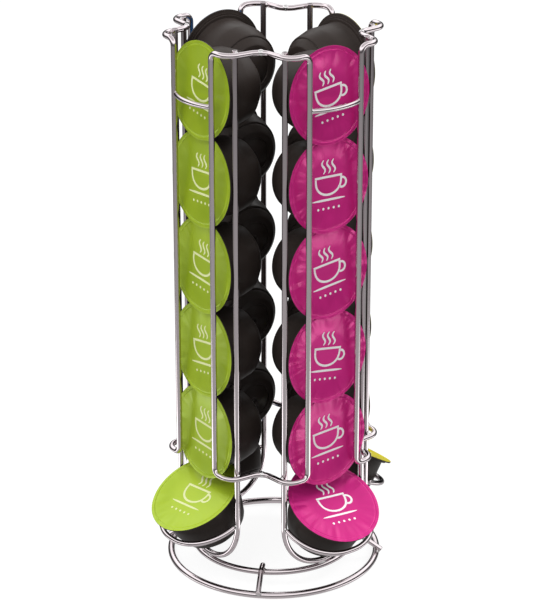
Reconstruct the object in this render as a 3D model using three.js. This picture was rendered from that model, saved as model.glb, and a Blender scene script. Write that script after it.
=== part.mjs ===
// Tabletop dispenser for coffee capsules: a tower of chromed wire with four columns of six capsules.
// Lengths are in millimetres. Z points up, the rack stands on z = 0 and its axis is the Z axis.
// The columns stand on the diagonals. The open gaps between them face front (-Y), right, back and left.
// Each column has its lowest capsule tipped outward in a cradle and five more standing on it, lids outward.
import * as THREE from 'three';

const degree = Math.PI / 180;

// Wire diameters
const lowerRingWire = 3.8;
const upperRingWire = 3.4;
const strutWire = 3;
const railWire = 3.2;
const frameWire = 3.2;
const tieWire = 3;
const stopWire = 3;

// Clearances: between two wires that are welded together, behind and in front of the capsules in a channel,
// and under a capsule that rests on another
const weldGap = 0.3;
const channelGap = 0.3;
const uprightGap = 1.85;
const seatGap = 0.3;

// Base rings, at the centre of their wire
const ringStep = 13.85;
const upperRingHeight = 9.1;

// Struts from ring to ring
const strutSlope = 34 * degree;
const strutInnerEnd = 1.9;
const strutOuterEnd = 1.3;
const strutBend = 3;

// Capsule: a flat lid sealed on a flange, a stiffening ridge under it, a wall and a dome with a flat end
const flangeRadius = 26.75;
const flangeWidth = 2.75;
const flangeThickness = 1;
const ridgeWidth = 1.7;
const ridgeDepth = 2.2;
const wallTaper = 0.5;
const wallDepth = 14;
const domeInset = 7.4;
const capsuleHeight = 30;

// Columns: the end of a capsule stands farther from the axis of the rack than it is wide, by the end gap
const endGap = 4.65;
const columnTilt = 3 * degree;
const stackCount = 5;
const outletLean = 10;
const outletRise = 12.4;
const outletTilt = 59.4 * degree;

// Rails: hairpin wires behind the flanges, one to a column
const railSideGap = 0.35;
const railTopRise = 2.1;

// Gap frames: loops of wire in front of the lids, one to a gap, waved at the top and the bottom
const frameFoot = 18.2;
const frameHead = 25.3;
const uprightInset = 9.7;
const apexInset = 0.65;
const lobeOutset = 3.3;
const waveBend = 8;
const uprightBend = 4;

// Tie wires across the highest lids, and stop wires round the tipped capsules
const tieDrop = 30;
const tieBow = 3.5;
const stopDepth = 12.1;
const stopClearance = 2.1;
const stopRise = 0.85;

// Fineness of the round shapes: no step along a wire is shorter than the shortest step
const shortestStep = 0.01;
const wireSides = 8;
const capsuleSides = 20;
const domeSteps = 3;
const ringSteps = 40;
const bendSteps = 4;
const hairpinSteps = 6;
const tieSteps = 6;

// Capsule sizes and places that follow from the sizes above
const ridgeRadius = flangeRadius - flangeWidth;
const shoulderRadius = ridgeRadius - ridgeWidth;
const waistRadius = shoulderRadius - wallTaper;
const endRadius = waistRadius - domeInset;
const wallSlope = wallTaper / (wallDepth - ridgeDepth);
const domeRise = capsuleHeight - wallDepth;
const domeRadius = (domeRise ** 2 + domeInset ** 2) / (2 * domeInset);
const columnReach = endRadius + endGap + capsuleHeight * Math.cos(columnTilt);

// The rails stand beside the wall of a capsule, just behind the part of its flange that crosses them.
const railHalfSpread = flangeRadius + railSideGap;
const flangeRiseAtRail = Math.sqrt(flangeRadius ** 2 - (railHalfSpread - railWire / 2) ** 2);
const flangeBackAtRail = columnReach - flangeRiseAtRail * Math.tan(columnTilt)
  - flangeThickness / Math.cos(columnTilt);
const railReach = flangeBackAtRail - railWire / 2 - channelGap;

// The rails stand on the upper ring, with their round bends down.
const lowerRingHeight = lowerRingWire / 2;
const upperRingRadius = railReach;
const lowerRingRadius = upperRingRadius + ringStep;
const hairpinBottom = upperRingHeight + (upperRingWire + railWire) / 2 + weldGap;
const hairpinSpring = hairpinBottom + railHalfSpread;

// The uprights stand just in front of the part of the leaning lid that crosses them.
const uprightHalfSpread = flangeRadius - uprightInset;
const lidDropAtUpright = Math.sqrt(flangeRadius ** 2 - (uprightHalfSpread - frameWire / 2) ** 2);
const uprightReach = columnReach + lidDropAtUpright * Math.sin(columnTilt) + frameWire / 2 + uprightGap;

// The tipped capsule leans out between the rails, with its lid above the round bend of the hairpin.
const outletReach = railReach + outletLean;
const outletHeight = hairpinSpring + outletRise;

// The lowest standing capsule rests with its dome on the inner edge of the tipped lid.
const tippedEdgeReach = outletReach - flangeRadius * Math.sin(outletTilt);
const tippedEdgeHeight = outletHeight + flangeRadius * Math.cos(outletTilt);
const domeOffset = waistRadius - domeRadius;
const domeReach = columnReach - wallDepth * Math.cos(columnTilt) + domeOffset * Math.sin(columnTilt);
const stackBottom = tippedEdgeHeight
  + Math.sqrt((domeRadius + seatGap) ** 2 - (tippedEdgeReach - domeReach) ** 2)
  + wallDepth * Math.sin(columnTilt) + domeOffset * Math.cos(columnTilt);

// Each further capsule rests with its wall on the flange below, which tucks in behind its own flange.
const stackPitch = (flangeRadius + shoulderRadius + wallSlope * ridgeDepth + seatGap)
  / (Math.cos(columnTilt) + wallSlope * Math.sin(columnTilt));
const stackTop = stackBottom + (stackCount - 1) * stackPitch;

// The frames reach from below the lowest standing lid up to the edge of the highest one.
const frameBottom = stackBottom - frameFoot;
const frameTop = stackTop + frameHead;
const railTop = frameTop + railTopRise;
const tieHeight = frameTop - tieDrop;

// Centre line of a wire, as stations that each hold a point and the direction of the wire there.
// They stand only where the wire bends, so that a long straight run is a single step.
class CentreLine extends THREE.Curve {
  constructor(stations) {
    super();
    this.stations = stations.filter(({ point }, i) => i === 0
      || point.distanceTo(stations[i - 1].point) > shortestStep);
  }

  stationAt(share) {
    return this.stations[Math.round(share * (this.stations.length - 1))];
  }

  getPointAt(share, target = new THREE.Vector3()) {
    return target.copy(this.stationAt(share).point);
  }

  getTangentAt(share, target = new THREE.Vector3()) {
    return target.copy(this.stationAt(share).tangent);
  }
}

function station(point, direction) {
  return { point, tangent: direction.normalize() };
}

// A round bend at a corner between two straight runs
function bendStations(before, corner, after, radius, steps) {
  const incoming = corner.clone().sub(before).normalize();
  const outgoing = after.clone().sub(corner).normalize();
  const turn = incoming.angleTo(outgoing);
  const start = corner.clone().addScaledVector(incoming, -radius * Math.tan(turn / 2));
  const inward = outgoing.addScaledVector(incoming, -Math.cos(turn)).normalize();
  const centre = start.addScaledVector(inward, radius);
  return Array.from({ length: steps + 1 }, (_, i) => {
    const angle = turn * i / steps;
    const point = centre.clone()
      .addScaledVector(inward, -radius * Math.cos(angle))
      .addScaledVector(incoming, radius * Math.sin(angle));
    const direction = incoming.clone().multiplyScalar(Math.cos(angle))
      .addScaledVector(inward, Math.sin(angle));
    return station(point, direction);
  });
}

// Straight runs between corners, each corner but the first and the last rounded to its own bend radius
function bentWire(corners, bendRadii, steps) {
  const run = (from, to) => corners[to].clone().sub(corners[from]);
  const bend = (radius, i) => bendStations(corners[i], corners[i + 1], corners[i + 2], radius, steps);
  const last = corners.length - 1;
  return new CentreLine([
    station(corners[0], run(0, 1)),
    ...bendRadii.flatMap(bend),
    station(corners[last], run(last - 1, last)),
  ]);
}

// Octagonal section of a wire, with its flats as far apart as the wire is thick
function sectionPoints(diameter) {
  const cornerRadius = diameter / 2 / Math.cos(Math.PI / wireSides);
  return Array.from({ length: wireSides }, (_, i) => {
    const angle = (i + 1 / 2) * 2 * Math.PI / wireSides;
    return new THREE.Vector2(cornerRadius * Math.cos(angle), cornerRadius * Math.sin(angle));
  });
}

function wireGeometry(centreLine, diameter) {
  return new THREE.ExtrudeGeometry(new THREE.Shape(sectionPoints(diameter)), {
    extrudePath: centreLine,
    steps: centreLine.stations.length - 1,
    bevelEnabled: false,
  });
}

// A ring of wire round the Z axis, lying flat at z = 0
function ringGeometry(radius, diameter) {
  const section = sectionPoints(diameter).map((point) => new THREE.Vector2(radius + point.x, point.y));
  const ring = new THREE.LatheGeometry([...section, section[0]], ringSteps, Math.PI / ringSteps);
  return ring.rotateX(Math.PI / 2);
}

// A capsule with the middle of its lid at the origin and its lid facing +X
function capsuleGeometry() {
  const domeTurn = Math.asin(domeRise / domeRadius);
  const dome = Array.from({ length: domeSteps + 1 }, (_, i) => {
    const angle = domeTurn * (1 - i / domeSteps);
    return [domeOffset + domeRadius * Math.cos(angle), -(wallDepth + domeRadius * Math.sin(angle))];
  });
  const outline = [
    [0, -capsuleHeight],
    ...dome,
    [shoulderRadius, -ridgeDepth],
    [ridgeRadius, -ridgeDepth],
    [ridgeRadius, -flangeThickness],
    [flangeRadius, -flangeThickness],
    [flangeRadius, 0],
    [0, 0],
  ];
  const profile = outline.map(([radius, along]) => new THREE.Vector2(radius, along));
  return new THREE.LatheGeometry(profile, capsuleSides).rotateZ(-Math.PI / 2);
}

function chrome(color) {
  return new THREE.MeshStandardMaterial({ color, roughness: 0.12, metalness: 1 });
}

function capsulePlastic(color) {
  return new THREE.MeshStandardMaterial({ color, roughness: 0.5, metalness: 0 });
}

function addMesh(parent, name, geometry, material) {
  const mesh = new THREE.Mesh(geometry, material);
  mesh.name = name;
  parent.add(mesh);
  return mesh;
}

// The gaps and the columns round the rack, and how far each is turned about the Z axis.
// In the group of a gap or a column, +X points outward from the axis and Y runs across.
const gaps = [
  { side: 'front', turn: -90 * degree },
  { side: 'right', turn: 0 },
  { side: 'back', turn: 90 * degree },
  { side: 'left', turn: 180 * degree },
];
const columns = [
  { side: 'front_right', turn: -45 * degree },
  { side: 'back_right', turn: 45 * degree },
  { side: 'back_left', turn: 135 * degree },
  { side: 'front_left', turn: -135 * degree },
];

function turnedGroup(parent, turn) {
  const group = new THREE.Group();
  group.rotation.z = turn;
  parent.add(group);
  return group;
}

// Base rings
function addBaseRings(parent) {
  const lowerRing = ringGeometry(lowerRingRadius, lowerRingWire);
  addMesh(parent, 'lower_base_ring', lowerRing, chrome('#c4c3c6')).position.z = lowerRingHeight;
  const upperRing = ringGeometry(upperRingRadius, upperRingWire);
  addMesh(parent, 'upper_base_ring', upperRing, chrome('#bdbcbf')).position.z = upperRingHeight;
}

// A strut lies on the upper ring, bends down past it and lies on the lower ring.
function strutPath() {
  const overUpper = upperRingHeight + (upperRingWire + strutWire) / 2 + weldGap;
  const overLower = (lowerRingWire + strutWire) / 2 + weldGap;
  const restReach = lowerRingRadius + overLower * Math.sin(strutSlope);
  const restHeight = lowerRingHeight + overLower * Math.cos(strutSlope);
  const bendReach = restReach - (overUpper - restHeight) / Math.tan(strutSlope);
  const corners = [
    new THREE.Vector3(upperRingRadius - strutInnerEnd, 0, overUpper),
    new THREE.Vector3(bendReach, 0, overUpper),
    new THREE.Vector3(restReach + strutOuterEnd * Math.cos(strutSlope), 0,
      restHeight - strutOuterEnd * Math.sin(strutSlope)),
  ];
  return bentWire(corners, [strutBend], bendSteps);
}

// Where a point of a column lies as seen from the gap beside it: a column is turned 45 degrees to a gap.
function gapPlace(reach, halfSpread) {
  const share = Math.SQRT1_2;
  return { out: (reach + halfSpread) * share, across: (reach - halfSpread) * share };
}

// Plan of one wave: up out of the upright, out round the rail and in to the apex in the middle of the gap
function wavePlan() {
  const upright = gapPlace(uprightReach, uprightHalfSpread);
  const rail = gapPlace(railReach, railHalfSpread);
  const apex = { across: 0, out: railReach - apexInset };
  const toRail = Math.atan2(rail.out - apex.out, rail.across);
  const apexToRail = Math.hypot(rail.out - apex.out, rail.across);
  const pastRail = Math.asin(((railWire + frameWire) / 2 + weldGap) / apexToRail);
  const lobeSpread = rail.across + lobeOutset;
  const lobe = { across: lobeSpread, out: apex.out + lobeSpread * Math.tan(toRail + pastRail) };
  return { upright, lobe, apex };
}

// A gap frame is one closed loop. Its ends are butt welded in the middle of the bottom wave.
function framePath() {
  const { upright, lobe, apex } = wavePlan();
  const corner = (place, side, height) => new THREE.Vector3(place.out, side * place.across, height);
  const corners = [
    corner(apex, 1, frameBottom),
    corner(lobe, 1, frameBottom),
    corner(upright, 1, frameBottom),
    corner(upright, 1, frameTop),
    corner(lobe, 1, frameTop),
    corner(apex, 1, frameTop),
    corner(lobe, -1, frameTop),
    corner(upright, -1, frameTop),
    corner(upright, -1, frameBottom),
    corner(lobe, -1, frameBottom),
    corner(apex, -1, frameBottom),
  ];
  const uprightBends = [uprightBend, uprightBend];
  const bendRadii = [waveBend, ...uprightBends, waveBend, waveBend, waveBend, ...uprightBends, waveBend];
  const loop = bentWire(corners, bendRadii, bendSteps).stations.slice(1, -1);
  const jointBend = bendStations(corner(lobe, -1, frameBottom), corner(apex, 1, frameBottom),
    corner(lobe, 1, frameBottom), waveBend, 2 * bendSteps);
  const middle = jointBend[bendSteps];
  const jointEnd = (side) => station(middle.point.clone().setY(side * weldGap / 2), middle.tangent.clone());
  return new CentreLine([
    jointEnd(1),
    ...jointBend.slice(bendSteps + 1),
    ...loop,
    ...jointBend.slice(0, bendSteps),
    jointEnd(-1),
  ]);
}

// Rail: a hairpin with its bend down, standing on the upper ring
function railPath() {
  const corner = (side, height) => new THREE.Vector3(railReach, side * railHalfSpread, height);
  const corners = [
    corner(-1, railTop),
    corner(-1, hairpinBottom),
    corner(1, hairpinBottom),
    corner(1, railTop),
  ];
  return bentWire(corners, [railHalfSpread, railHalfSpread], hairpinSteps);
}

// Stop wire: a bow from rail to rail under the tipped capsule. It starts in front of the rails, just above
// the bend of the hairpin, and slopes down to where it goes round the wall of the cup.
function stopPath() {
  const cupRadius = shoulderRadius - (stopDepth - ridgeDepth) * wallSlope;
  const bowRadius = cupRadius + stopClearance + stopWire / 2;
  const bowReach = outletReach - stopDepth * Math.cos(outletTilt) + bowRadius * Math.sin(outletTilt);
  const bowHeight = outletHeight - stopDepth * Math.sin(outletTilt) - bowRadius * Math.cos(outletTilt);
  const heightAtRail = hairpinSpring + stopRise;
  const slope = Math.atan2(heightAtRail - bowHeight, bowReach - railReach);
  const start = railReach + railWire / 2 + weldGap + stopWire / 2 * Math.sin(slope);
  const startHeight = heightAtRail - (start - railReach) * Math.tan(slope);
  const corners = [
    new THREE.Vector3(start, -railHalfSpread, startHeight),
    new THREE.Vector3(bowReach, -railHalfSpread, bowHeight),
    new THREE.Vector3(bowReach, railHalfSpread, bowHeight),
    new THREE.Vector3(start, railHalfSpread, startHeight),
  ];
  const bow = Math.min((bowReach - start) / Math.cos(slope), railHalfSpread);
  return bentWire(corners, [bow, bow], hairpinSteps);
}

// Tie wire: an arc from upright to upright across the highest lid
function tiePath() {
  const halfSpan = uprightHalfSpread - frameWire / 2 - weldGap;
  const radius = (halfSpan ** 2 + tieBow ** 2) / (2 * tieBow);
  const halfTurn = Math.asin(halfSpan / radius);
  const end = (side) => new THREE.Vector3(uprightReach, side * halfSpan, tieHeight);
  const corner = new THREE.Vector3(uprightReach + halfSpan * Math.tan(halfTurn), 0, tieHeight);
  return new CentreLine(bendStations(end(-1), corner, end(1), radius, tieSteps));
}

function addGap(parent, { side, turn }) {
  const group = turnedGroup(parent, turn);
  addMesh(group, `base_strut_${side}`, wireGeometry(strutPath(), strutWire), chrome('#b3b2b5'));
  addMesh(group, `wave_frame_${side}`, wireGeometry(framePath(), frameWire), chrome('#c9c8cb'));
}

function addCapsule(group, name, reach, height, tilt) {
  const capsule = addMesh(group, name, capsuleGeometry(), capsulePlastic('#2c2523'));
  capsule.position.set(reach, 0, height);
  capsule.rotation.y = -tilt;
}

// Capsules are numbered from the one that is taken next, at the bottom, up to the last one at the top.
function addColumn(parent, { side, turn }) {
  const group = turnedGroup(parent, turn);
  addMesh(group, `column_rail_${side}`, wireGeometry(railPath(), railWire), chrome('#c2c1c4'));
  addMesh(group, `stop_wire_${side}`, wireGeometry(stopPath(), stopWire), chrome('#b8b7ba'));
  addMesh(group, `tie_wire_${side}`, wireGeometry(tiePath(), tieWire), chrome('#cccbce'));
  addCapsule(group, `capsule_${side}_1`, outletReach, outletHeight, outletTilt);
  for (let i = 0; i < stackCount; i += 1) {
    addCapsule(group, `capsule_${side}_${i + 2}`, columnReach, stackBottom + i * stackPitch, columnTilt);
  }
}

const dispenser = new THREE.Group();
addBaseRings(dispenser);
gaps.forEach((gap) => addGap(dispenser, gap));
columns.forEach((column) => addColumn(dispenser, column));

export default dispenser;
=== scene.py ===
"""Tabletop dispenser for coffee capsules: a tower of chromed wire with four columns of capsules.

The wires are swept along their real centre lines, the welds are beads of metal, and each capsule is a
moulded cup with a sealed lid of printed foil. Places and sizes are in millimetres in the dataclasses and
become metres in the meshes. Z points up and the rack stands on z = 0.
"""

import logging
import math
from dataclasses import dataclass, field
from enum import Enum

import bmesh
import bpy
import numpy as np
from mathutils import Matrix, Vector, noise


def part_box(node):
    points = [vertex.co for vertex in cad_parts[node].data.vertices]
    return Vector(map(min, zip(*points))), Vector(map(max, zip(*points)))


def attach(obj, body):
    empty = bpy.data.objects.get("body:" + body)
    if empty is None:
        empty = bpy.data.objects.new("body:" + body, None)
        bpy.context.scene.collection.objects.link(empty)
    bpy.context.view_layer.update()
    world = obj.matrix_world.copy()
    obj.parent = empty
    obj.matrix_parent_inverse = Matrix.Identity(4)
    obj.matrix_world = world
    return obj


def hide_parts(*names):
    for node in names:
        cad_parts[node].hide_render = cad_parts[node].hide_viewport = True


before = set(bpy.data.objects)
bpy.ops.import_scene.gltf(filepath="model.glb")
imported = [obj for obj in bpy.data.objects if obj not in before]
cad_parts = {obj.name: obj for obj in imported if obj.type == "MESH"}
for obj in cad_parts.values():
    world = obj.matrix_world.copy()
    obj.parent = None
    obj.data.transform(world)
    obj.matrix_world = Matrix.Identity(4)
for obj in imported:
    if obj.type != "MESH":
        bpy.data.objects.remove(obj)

MM = 0.001
DEGREE = math.pi / 180
LID_MAP = "lid"
LID_TILE = 60.0
LID_STEP = 7.31
WHITE = (1.0, 1.0, 1.0, 1.0)
log = logging.getLogger("dispenser")

Point = tuple[float, float]


class Side(Enum):
    """The four gaps round the tower, each with its turn about the Z axis in degrees."""

    FRONT = -90
    RIGHT = 0
    BACK = 90
    LEFT = 180


class Column(Enum):
    """The four columns of capsules, each with its turn about the Z axis in degrees."""

    FRONT_RIGHT = -45
    BACK_RIGHT = 45
    BACK_LEFT = 135
    FRONT_LEFT = -135


def turn_of(place: Side | Column) -> Matrix:
    """Turn that brings +X to the outward direction of a gap or a column."""
    return Matrix.Rotation(place.value * DEGREE, 4, "Z")


def name_of(place: Side | Column) -> str:
    """Name of a gap or a column as the nodes of the frame write it."""
    return place.name.lower()


def even_shares(steps: int) -> list[float]:
    """Shares from 0 to 1 in even steps."""
    return [i / steps for i in range(steps + 1)]


def linear_colour(hex_code: str) -> tuple[float, float, float, float]:
    """Turn an sRGB hex value into a linear colour.

    Args:
        hex_code: Six hex digits after a hash sign.

    Returns:
        Linear red, green and blue, and an alpha of 1.
    """
    shares = [int(hex_code[i:i + 2], 16) / 255 for i in (1, 3, 5)]
    linear = [s / 12.92 if s <= 0.04045 else ((s + 0.055) / 1.055) ** 2.4 for s in shares]
    return (*linear, 1.0)


def set_inputs(tree: bpy.types.NodeTree, node: bpy.types.Node, inputs: dict) -> None:
    """Give the inputs of a node their values and links.

    Args:
        tree: Tree of the node.
        node: The node.
        inputs: Value, output socket, or node whose first output counts, by the input's name or number.
    """
    for key, value in inputs.items():
        source = value.outputs[0] if isinstance(value, bpy.types.Node) else value
        if isinstance(source, bpy.types.NodeSocket):
            tree.links.new(source, node.inputs[key])
        else:
            node.inputs[key].default_value = source


def add_node(tree: bpy.types.NodeTree, kind: str, inputs: dict | None = None, **settings) -> bpy.types.Node:
    """Add a node to a tree.

    Args:
        tree: Tree that gets the node.
        kind: Blender's name of the kind of node.
        inputs: What each input gets, as in set_inputs.
        **settings: Values of the node's own settings.

    Returns:
        The new node.
    """
    node = tree.nodes.new(kind)
    for key, value in settings.items():
        setattr(node, key, value)
    set_inputs(tree, node, inputs or {})
    return node


def add_object(name: str, data: bpy.types.ID) -> bpy.types.Object:
    """Put a mesh, a lamp or a camera into the scene as an object.

    Args:
        name: Name of the object.
        data: What it shows.

    Returns:
        The object.
    """
    made = bpy.data.objects.new(name, data)
    bpy.context.scene.collection.objects.link(made)
    return made


def add_piece(name: str, mesh: bpy.types.Mesh) -> bpy.types.Object:
    """Put a finished mesh, with its place in its vertices, into the scene as a piece."""
    mesh.name = name
    return add_object(name, mesh)


def seat_piece(piece: bpy.types.Object, body: str, slot: str, *nodes: str) -> None:
    """Tie a piece to its body and say which nodes it stands for.

    Args:
        piece: Finished piece.
        body: Body of the frame that it moves with.
        slot: Material slot of the record, which is not used.
        *nodes: Nodes of the frame that it stands for.
    """
    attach(piece, body)
    if nodes:
        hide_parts(*nodes)
    log.info("%s rides on %s, %d faces", piece.name, body, len(piece.data.polygons))


def start_material(name: str) -> tuple[bpy.types.Material, bpy.types.NodeTree, bpy.types.NodeSocket]:
    """Start a material on the Principled shader.

    Args:
        name: Name of the material.

    Returns:
        The material, its tree, and the socket with the place on the object.
    """
    material = bpy.data.materials.new(name)
    material.use_nodes = True
    tree = material.node_tree
    return material, tree, add_node(tree, "ShaderNodeTexCoord").outputs["Object"]


def set_shader(material: bpy.types.Material, inputs: dict) -> bpy.types.Material:
    """Set the inputs of a material's Principled shader and hand the material back.

    Args:
        material: Material from start_material.
        inputs: What each input gets, as in set_inputs.

    Returns:
        The material.
    """
    tree = material.node_tree
    set_inputs(tree, tree.nodes["Principled BSDF"], inputs)
    return material


@dataclass(frozen=True)
class ChromePlate:
    """Bright chrome plate on drawn steel wire: a mirror with the faint ripple of the plating bath."""

    colour: str = "#CEC4C7"
    roughness_low: float = 0.05
    roughness_high: float = 0.13
    smear_size: float = 14.0
    ripple_size: float = 1.6
    ripple_height: float = 0.006

    def make(self) -> bpy.types.Material:
        """Build the material.

        Returns:
            The material.
        """
        material, tree, place = start_material("chrome_plated_steel_wire")
        smears = add_node(tree, "ShaderNodeTexNoise", {"Vector": place, "Scale": 1 / (self.smear_size * MM),
                                                       "Detail": 3.0})
        gloss = add_node(tree, "ShaderNodeMapRange", {"Value": smears, "From Min": 0.35, "From Max": 0.7,
                                                      "To Min": self.roughness_low,
                                                      "To Max": self.roughness_high})
        ripple = add_node(tree, "ShaderNodeTexNoise", {"Vector": place, "Scale": 1 / (self.ripple_size * MM),
                                                       "Detail": 1.0})
        bump = add_node(tree, "ShaderNodeBump", {"Height": ripple, "Strength": 0.5,
                                                 "Distance": self.ripple_height * MM})
        return set_shader(material, {"Base Color": linear_colour(self.colour), "Metallic": 1.0,
                                     "Roughness": gloss, "Normal": bump})


@dataclass(frozen=True)
class WeldBead:
    """Resistance weld under the plating: as bright as the wire, but lumpy, with a soft broken glint."""

    colour: str = "#D9D6D6"
    roughness: float = 0.16
    lump_size: float = 0.8
    lump_height: float = 0.08

    def make(self) -> bpy.types.Material:
        """Build the material.

        Returns:
            The material.
        """
        material, tree, place = start_material("chrome_plated_weld")
        lumps = add_node(tree, "ShaderNodeTexNoise", {"Vector": place, "Scale": 1 / (self.lump_size * MM),
                                                      "Detail": 2.0})
        bump = add_node(tree, "ShaderNodeBump", {"Height": lumps, "Strength": 0.6,
                                                 "Distance": self.lump_height * MM})
        return set_shader(material, {"Base Color": linear_colour(self.colour), "Metallic": 1.0,
                                     "Roughness": self.roughness, "Normal": bump})


@dataclass(frozen=True)
class MouldedCup:
    """Injection-moulded polypropylene, near black: a satin skin with a fine spark-eroded grain."""

    colour: str = "#2E2724"
    worn_colour: str = "#37302D"
    roughness_low: float = 0.38
    roughness_high: float = 0.52
    cloud_size: float = 9.0
    grain_size: float = 0.35
    grain_height: float = 0.02
    shine: float = 0.16

    def make(self) -> bpy.types.Material:
        """Build the material. The grain is drawn three times as coarse as the real one, to show at all.

        Returns:
            The material.
        """
        material, tree, place = start_material("moulded_polypropylene")
        clouds = add_node(tree, "ShaderNodeTexNoise", {"Vector": place, "Scale": 1 / (self.cloud_size * MM),
                                                       "Detail": 4.0})
        gloss = add_node(tree, "ShaderNodeMapRange", {"Value": clouds, "From Min": 0.3, "From Max": 0.7,
                                                      "To Min": self.roughness_low,
                                                      "To Max": self.roughness_high})
        tone = add_node(tree, "ShaderNodeMix", {"Factor": clouds, 6: linear_colour(self.colour),
                                                7: linear_colour(self.worn_colour)}, data_type="RGBA")
        grain = add_node(tree, "ShaderNodeTexNoise", {"Vector": place, "Scale": 1 / (self.grain_size * MM),
                                                      "Detail": 2.0})
        bump = add_node(tree, "ShaderNodeBump", {"Height": grain, "Strength": 0.35,
                                                 "Distance": self.grain_height * MM})
        return set_shader(material, {"Base Color": tone.outputs[2], "Specular IOR Level": self.shine,
                                     "Roughness": gloss, "Normal": bump})


@dataclass(frozen=True)
class PrintedFoil:
    """Lacquered aluminium foil, printed in one colour, and puckered towards the seal round its edge."""

    name: str
    colour: str
    deep_colour: str
    print_colour: str
    pucker_height: float = 0.9
    metallic: float = 0.36
    roughness_low: float = 0.28
    roughness_high: float = 0.4
    lacquer: float = 0.3
    lacquer_roughness: float = 0.13
    shine: float = 0.2
    cloud_size: float = 16.0
    crinkle_size: float = 7.0
    crinkle_height: float = 0.06
    pucker_count: float = 2.6
    smooth_radius: float = 13.0
    seal_radius: float = 24.0

    def make(self) -> bpy.types.Material:
        """Build the material.

        Returns:
            The material.
        """
        material, tree, place = start_material(f"printed_foil_{self.name}")
        clouds = add_node(tree, "ShaderNodeTexNoise", {"Vector": place, "Scale": 1 / (self.cloud_size * MM),
                                                       "Detail": 3.0})
        tone = add_node(tree, "ShaderNodeMix", {"Factor": clouds, 6: linear_colour(self.deep_colour),
                                                7: linear_colour(self.colour)}, data_type="RGBA")
        gloss = add_node(tree, "ShaderNodeMapRange", {"Value": clouds, "From Min": 0.3, "From Max": 0.7,
                                                      "To Min": self.roughness_low,
                                                      "To Max": self.roughness_high})
        crinkles = add_node(tree, "ShaderNodeTexNoise", {"Vector": place, "Detail": 1.0,
                                                         "Scale": 1 / (self.crinkle_size * MM)})
        soft = add_node(tree, "ShaderNodeBump", {"Height": crinkles, "Strength": 0.5,
                                                 "Distance": self.crinkle_height * MM})
        uneven = add_node(tree, "ShaderNodeBump", {"Height": self.puckers(tree), "Strength": 1.0,
                                                   "Distance": self.pucker_height * MM, "Normal": soft})
        return set_shader(material, {"Base Color": tone.outputs[2], "Metallic": self.metallic,
                                     "Specular IOR Level": self.shine, "Roughness": gloss, "Normal": uneven,
                                     "Coat Weight": self.lacquer, "Coat Roughness": self.lacquer_roughness,
                                     "Coat Normal": uneven})

    def puckers(self, tree: bpy.types.NodeTree) -> bpy.types.Node:
        """Add nodes for folds that run towards the middle of a lid and fade out before they reach it.

        Args:
            tree: Tree that gets the nodes. They read the lid's own coordinates.

        Returns:
            Node whose value is the height of the folds, between 0 and 1.
        """
        axes = add_node(tree, "ShaderNodeSeparateXYZ", {
            "Vector": add_node(tree, "ShaderNodeUVMap", uv_map=LID_MAP)}).outputs
        lid = add_node(tree, "ShaderNodeMath", {0: axes["X"]}, operation="FLOOR")
        across = add_node(tree, "ShaderNodeMath", {0: axes["X"]}, operation="FRACT")
        flat = add_node(tree, "ShaderNodeCombineXYZ", {"X": across, "Y": axes["Y"], "Z": 0.5})
        out = add_node(tree, "ShaderNodeVectorMath", {0: flat, 1: (0.5, 0.5, 0.5)}, operation="SUBTRACT")
        radius = add_node(tree, "ShaderNodeVectorMath", {0: out}, operation="LENGTH").outputs["Value"]
        outward = add_node(tree, "ShaderNodeVectorMath", {0: out}, operation="NORMALIZE")
        along = add_node(tree, "ShaderNodeVectorMath", {0: outward, 1: out}, operation="ADD")
        number = add_node(tree, "ShaderNodeMath", {0: lid, 1: LID_STEP}, operation="MULTIPLY")
        folds = add_node(tree, "ShaderNodeTexNoise", {"Vector": along, "W": number, "Detail": 1.0,
                                                      "Scale": self.pucker_count}, noise_dimensions="4D")
        fade = add_node(tree, "ShaderNodeMapRange", {"Value": radius,
                                                     "From Min": self.smooth_radius / LID_TILE,
                                                     "From Max": self.seal_radius / LID_TILE},
                        interpolation_type="SMOOTHSTEP")
        return add_node(tree, "ShaderNodeMath", {0: folds, 1: fade}, operation="MULTIPLY")


@dataclass(frozen=True)
class PrintingInk:
    """Pale printing ink on foil: matt against the foil, a little of the foil's unevenness in it."""

    name: str
    colour: str
    roughness: float = 0.45
    roughness_spread: float = 0.08
    speck_size: float = 0.8

    def make(self) -> bpy.types.Material:
        """Build the material.

        Returns:
            The material.
        """
        material, tree, place = start_material(f"printing_ink_{self.name}")
        specks = add_node(tree, "ShaderNodeTexNoise", {"Vector": place, "Scale": 1 / (self.speck_size * MM),
                                                       "Detail": 3.0})
        gloss = add_node(tree, "ShaderNodeMapRange", {"Value": specks, "From Min": 0.3, "From Max": 0.7,
                                                      "To Min": self.roughness - self.roughness_spread,
                                                      "To Max": self.roughness + self.roughness_spread})
        return set_shader(material, {"Base Color": linear_colour(self.colour), "Roughness": gloss})


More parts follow.
